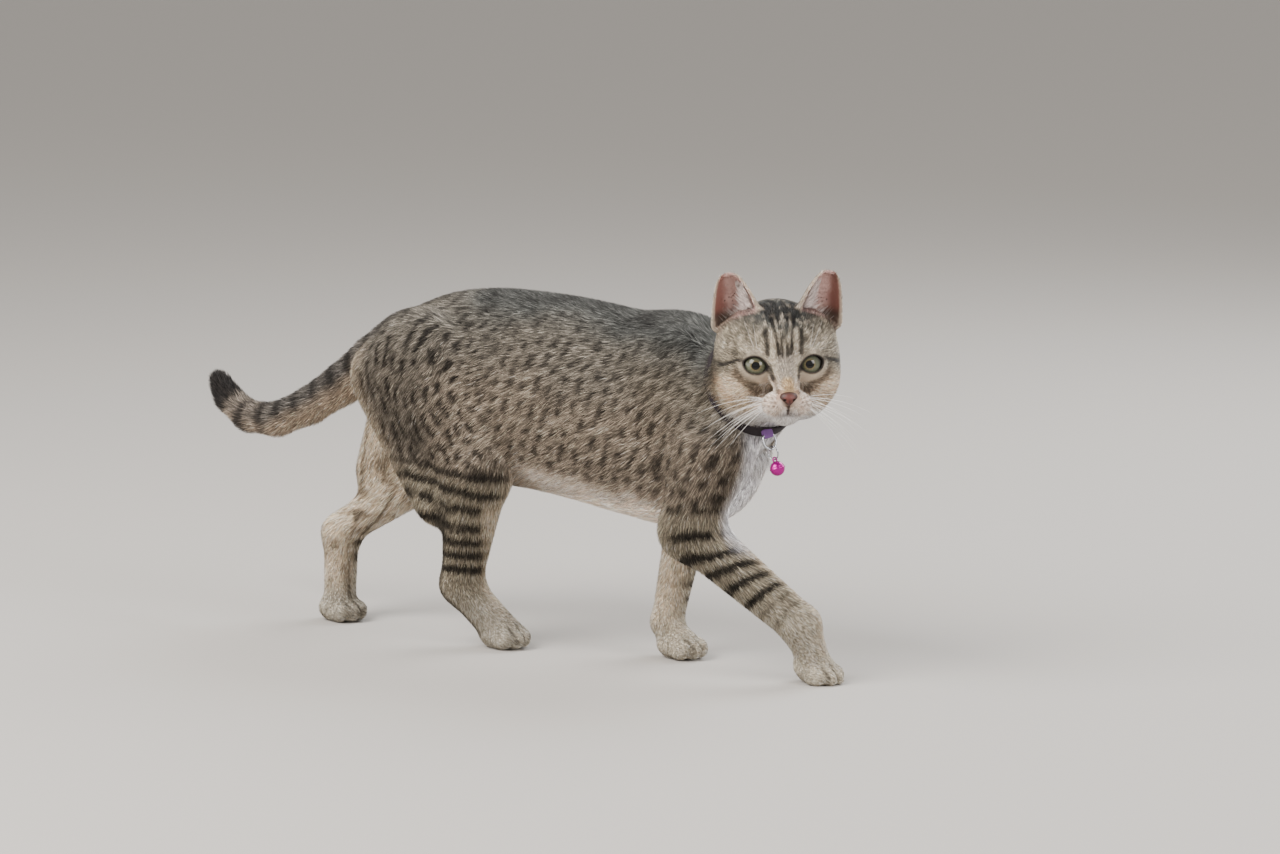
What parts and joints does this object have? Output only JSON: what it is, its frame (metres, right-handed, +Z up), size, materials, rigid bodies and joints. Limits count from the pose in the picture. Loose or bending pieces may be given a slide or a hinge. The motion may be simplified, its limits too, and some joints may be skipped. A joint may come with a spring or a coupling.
{
  "type": "walking house cat",
  "caption": "Slim grey tabby house cat in mid walk, head turned to its right, with a collar and a small bell at the throat.",
  "frame": {"origin": "middle of the bounding box on the floor plane, between the four paws", "axes": "+X is the way the cat walks, +Y is its left side, +Z is up"},
  "size_m": [0.5818, 0.1412, 0.289],
  "materials": {
    "coat": "short ticked grey-brown fur with dark spots and bars",
    "eye": "wet gloss",
    "nose_leather": "damp satin",
    "collar_webbing": "woven matt",
    "keeper_fabric": "satin",
    "ring_metal": "polished",
    "bell_enamel": "glossy anodised"
  },
  "bodies": {
    "root": {"head": "coat", "ear_left": "coat", "ear_right": "coat", "eye_left": "eye", "eye_right": "eye", "nose": "nose_leather", "neck": "coat", "chest": "coat", "loin": "coat", "hips": "coat", "tail_base": "coat", "tail_middle": "coat", "tail_tip": "coat", "shoulder_right": "coat", "forearm_right": "coat", "forepaw_right": "coat", "shoulder_left": "coat", "forearm_left": "coat", "forepaw_left": "coat", "thigh_right": "coat", "shank_right": "coat", "hock_right": "coat", "hindpaw_right": "coat", "thigh_left": "coat", "shank_left": "coat", "hock_left": "coat", "hindpaw_left": "coat", "collar": "collar_webbing", "keeper": "keeper_fabric", "d_ring": "ring_metal", "split_ring": "ring_metal", "bell": "bell_enamel", "bell_pellet": "ring_metal"}
  },
  "joints": []
}
